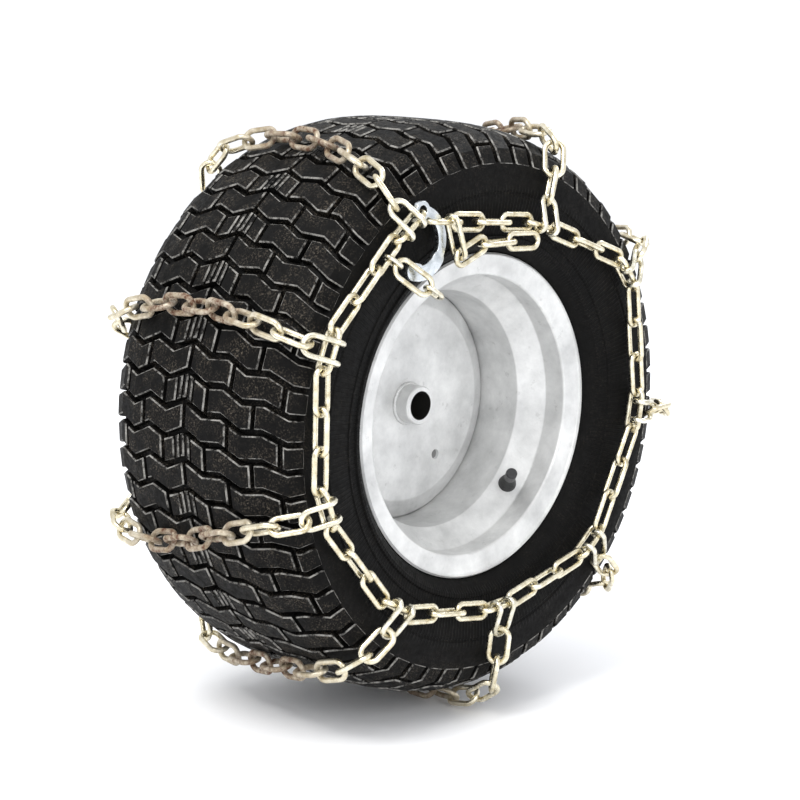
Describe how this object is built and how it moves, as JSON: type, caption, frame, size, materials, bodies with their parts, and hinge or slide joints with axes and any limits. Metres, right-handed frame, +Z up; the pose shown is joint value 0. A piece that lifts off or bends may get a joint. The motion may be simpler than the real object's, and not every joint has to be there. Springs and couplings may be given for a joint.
{
  "type": "tire snow chains",
  "caption": "Ladder snow chains fitted on a turf tyre and stamped steel wheel, with tightening lever, keeper and loose tail.",
  "frame": {"origin": "middle of the hub bore, on the axle line (it is within 10 mm of the tyre's middle plane)", "axes": "+Y along the axle towards the machine, -Y the outer face with the fastener, +Z up, +X to the right when the outer face is looked at"},
  "size_m": [0.5315, 0.2833, 0.5279],
  "materials": {
    "tyre": "matte black rubber",
    "rim_paint": "semi-gloss silver white paint",
    "valve_rubber": "matte",
    "cap_plastic": "satin",
    "side_zinc": "yellow passivated zinc",
    "cross_zinc": "zinc with light surface rust",
    "fastener_zinc": "zinc plated"
  },
  "bodies": {
    "wheel": {"tyre": "tyre", "rim_barrel": "rim_paint", "wheel_disc": "rim_paint", "hub_tube": "rim_paint", "valve_stem": "valve_rubber"},
    "cap": {"valve_cap": "cap_plastic"},
    "chain": {"outer_side_chain_1": "side_zinc", "outer_side_chain_2": "side_zinc", "outer_side_chain_3": "side_zinc", "outer_side_chain_4": "side_zinc", "outer_side_chain_5": "side_zinc", "outer_side_chain_6": "side_zinc", "outer_side_chain_7": "side_zinc", "outer_side_chain_8": "side_zinc", "outer_closing_chain": "side_zinc", "inner_side_chain_1": "side_zinc", "inner_side_chain_2": "side_zinc", "inner_side_chain_3": "side_zinc", "inner_side_chain_4": "side_zinc", "inner_side_chain_5": "side_zinc", "inner_side_chain_6": "side_zinc", "inner_side_chain_7": "side_zinc", "inner_side_chain_8": "side_zinc", "inner_closing_chain": "side_zinc", "inner_closing_hook": "fastener_zinc", "cross_chain_1": "cross_zinc", "cross_chain_2": "cross_zinc", "cross_chain_3": "cross_zinc", "cross_chain_4": "cross_zinc", "cross_chain_5": "cross_zinc", "cross_chain_6": "cross_zinc", "cross_chain_7": "cross_zinc", "cross_chain_8": "cross_zinc", "cross_chain_9": "cross_zinc", "outer_cross_hook_1": "fastener_zinc", "outer_cross_hook_2": "fastener_zinc", "outer_cross_hook_3": "fastener_zinc", "outer_cross_hook_4": "fastener_zinc", "outer_cross_hook_5": "fastener_zinc", "outer_cross_hook_6": "fastener_zinc", "outer_cross_hook_7": "fastener_zinc", "outer_cross_hook_8": "fastener_zinc", "outer_cross_hook_9": "fastener_zinc", "inner_cross_hooks": "fastener_zinc"},
    "lever": {"tightening_lever": "fastener_zinc"},
    "keeper": {"keeper_shackle": "fastener_zinc", "keeper_link": "side_zinc"},
    "keeper_end": {"keeper_end_link": "fastener_zinc"},
    "tail": {"loose_tail": "side_zinc"}
  },
  "joints": [
    {"name": "chain_creep", "type": "hinge", "parent": "wheel", "child": "chain", "pos_m": [0, 0, 0], "axis": [0, 1, 0], "continuous": true},
    {"name": "lever_swing", "type": "hinge", "parent": "chain", "child": "lever", "pos_m": [-0.10411, -0.123, 0.18708], "axis": [0, -1, 0], "range_deg": [0, 4]},
    {"name": "keeper_swing", "type": "hinge", "parent": "chain", "child": "keeper", "pos_m": [-0.13991, -0.123, 0.14897], "axis": [-0.7034, 0, -0.7108], "range_deg": [0, 75]},
    {"name": "keeper_end_swing", "type": "hinge", "parent": "keeper", "child": "keeper_end", "pos_m": [-0.10512, -0.13715, 0.12275], "axis": [0.6018, 0, 0.7986], "range_deg": [-40, 40]},
    {"name": "tail_swing", "type": "hinge", "parent": "chain", "child": "tail", "pos_m": [-0.07293, -0.1296, 0.17669], "axis": [-0.9985, 0, 0.0553], "range_deg": [0, 25]},
    {"name": "valve_cap_turn", "type": "hinge", "parent": "wheel", "child": "cap", "pos_m": [0.07415, -0.07521, -0.06677], "axis": [-0.5579, -0.6606, 0.5023], "continuous": true}
  ]
}
